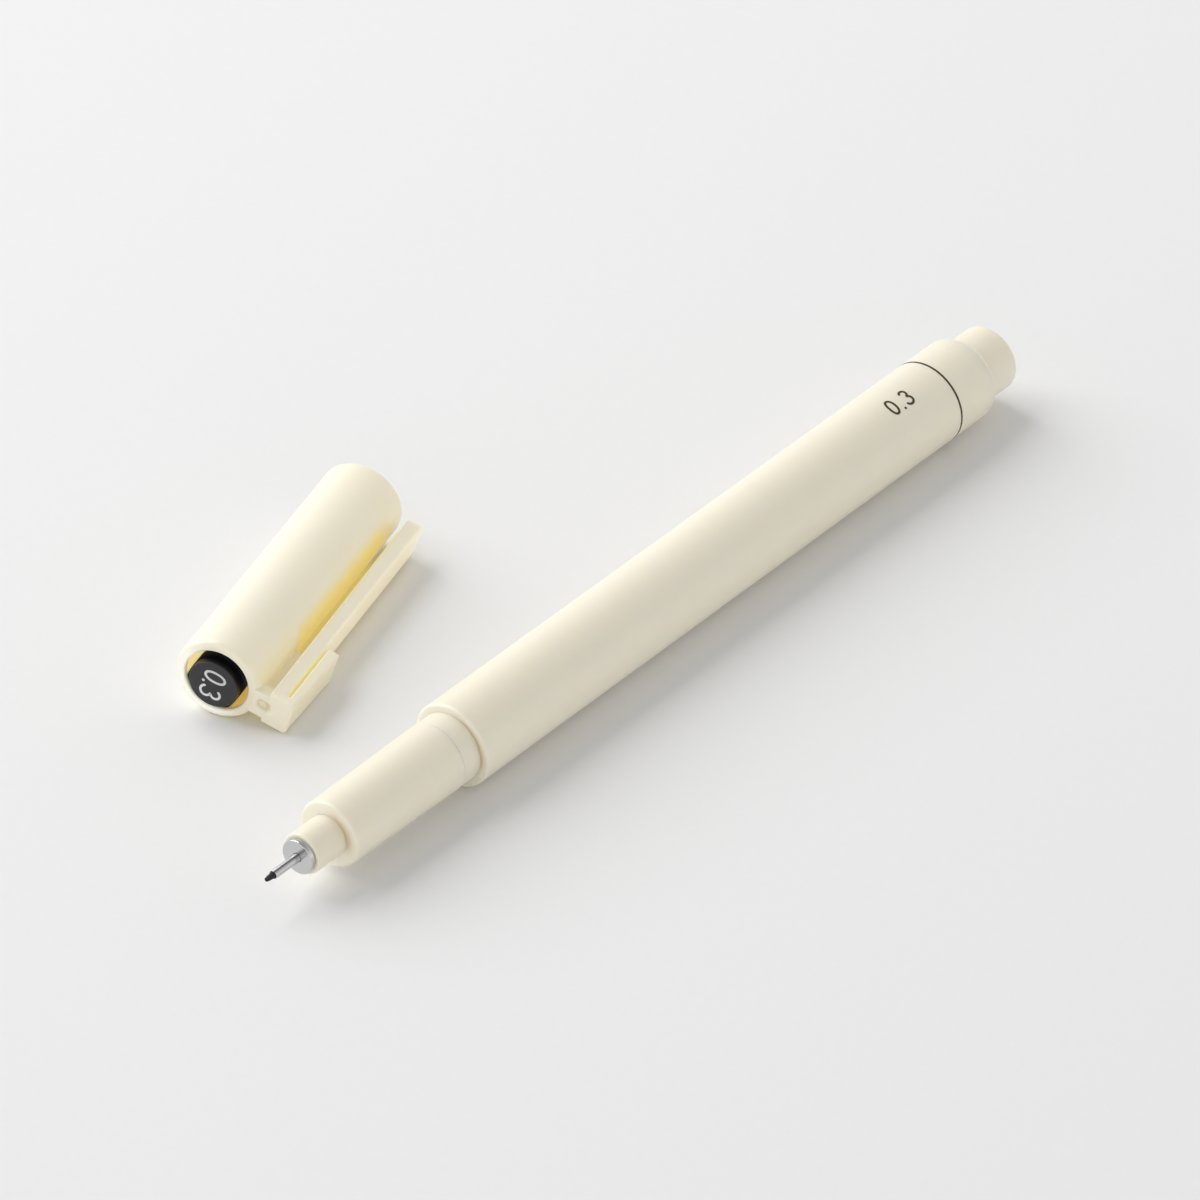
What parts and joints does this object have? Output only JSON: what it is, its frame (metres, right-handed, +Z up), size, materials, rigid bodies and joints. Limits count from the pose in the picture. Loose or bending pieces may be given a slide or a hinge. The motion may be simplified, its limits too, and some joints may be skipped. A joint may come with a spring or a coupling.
{
  "type": "fineliner pen",
  "caption": "Fineliner with a metal-sheathed point and stepped tail, lying beside its cap, which has a side clip and a black vented end plug.",
  "frame": {"origin": "bottom centre of the whole layout, on the surface that the pen and the cap lie on", "axes": "+X along the pen from its point to its tail, +Y across from the pen to the cap, +Z up"},
  "size_m": [0.1312, 0.0486, 0.0105],
  "materials": {
    "cream_barrel": "satin moulded",
    "cream_section": "satin moulded",
    "cream_cap": "satin moulded",
    "black_plug": "satin moulded",
    "steel": "polished",
    "inked_point": "matte, wet with ink",
    "inked_fibre": "soaked fibre",
    "clear_film": "thin clear film"
  },
  "bodies": {
    "pen": {"barrel": "cream_barrel", "tail_plug": "cream_barrel", "section_collar": "cream_section", "grip_section": "cream_section", "nib_holder": "cream_section", "nib_ferrule": "steel", "nib_tube": "steel", "nib_point": "inked_point", "feed_wick": "inked_fibre", "ink_reservoir": "inked_fibre", "reservoir_wrap": "clear_film"},
    "cap": {"cap_shell": "cream_cap", "inner_cap": "black_plug"},
    "clip": {"cap_clip": "cream_cap"}
  },
  "joints": [
    {"name": "cap_lift", "type": "slide", "parent": "pen", "child": "cap", "axis": [0, 0, 1], "range_m": [0, 0.1]},
    {"name": "clip_flex", "type": "hinge", "parent": "cap", "child": "clip", "pos_m": [-0.03919, 0.00375, 0.00324], "axis": [-0.0785, 0.2951, -0.9522], "range_deg": [0, 4], "stiffness_Nm_per_rad": 0.2}
  ]
}
